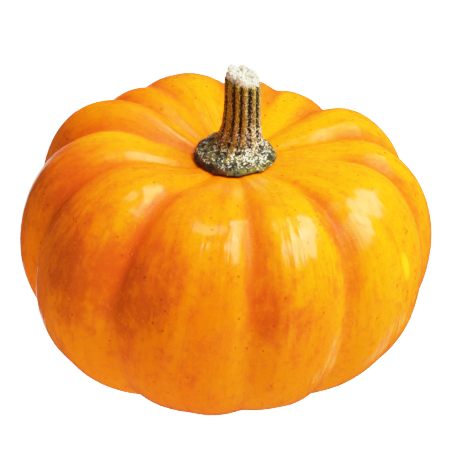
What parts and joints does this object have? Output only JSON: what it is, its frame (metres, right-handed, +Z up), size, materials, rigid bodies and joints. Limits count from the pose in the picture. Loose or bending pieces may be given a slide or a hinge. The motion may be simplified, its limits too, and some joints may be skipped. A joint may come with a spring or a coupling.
{
  "type": "pumpkin",
  "caption": "Small flattened ribbed pumpkin with deep unequal lobes and a short ridged dry stem on a broad foot, broken off to pale pith.",
  "frame": {"origin": "middle of the outline seen from above, at the level of the small flat spot that the fruit rests on", "axes": "+Z up through the stem, -Y towards the front that the picture shows, +X to the picture's right"},
  "size_m": [0.119, 0.1198, 0.0946],
  "materials": {
    "rind": "gloss",
    "stem": "matte"
  },
  "bodies": {
    "root": {"fruit": "rind", "stem": "stem"}
  },
  "joints": []
}
